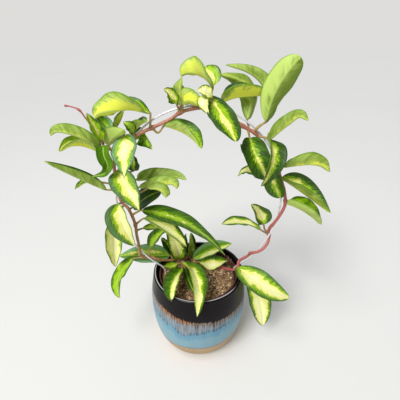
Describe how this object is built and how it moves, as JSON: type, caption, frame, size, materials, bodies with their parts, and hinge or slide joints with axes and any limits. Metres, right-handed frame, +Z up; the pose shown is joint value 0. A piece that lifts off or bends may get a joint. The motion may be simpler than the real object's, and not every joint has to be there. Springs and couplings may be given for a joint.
{
  "type": "potted hoya plant",
  "caption": "Variegated hoya vines trained round an upright wire hoop, rooted in a nursery pot of soil inside a glazed cover pot.",
  "frame": {"origin": "centre of the cover pot's underside", "axes": "+Z up, the hoop stands in a plane along X, and the plant is seen from -Y"},
  "size_m": [0.3117, 0.1404, 0.3816],
  "materials": {
    "glaze": "gloss",
    "liner": "satin",
    "soil": "rough",
    "wire": "galvanised",
    "foliage": "waxy"
  },
  "bodies": {
    "root": {"cover_pot": "glaze", "nursery_pot": "liner", "soil": "soil", "hoop": "wire", "vine_left_foot": "foliage", "vine_left_lower": "foliage", "vine_left_middle": "foliage", "vine_left_upper": "foliage", "vine_top_left": "foliage", "vine_top_right": "foliage", "vine_right_upper": "foliage", "vine_right_lower": "foliage", "crown_back": "foliage", "crown_right": "foliage", "crown_front": "foliage"}
  },
  "joints": []
}
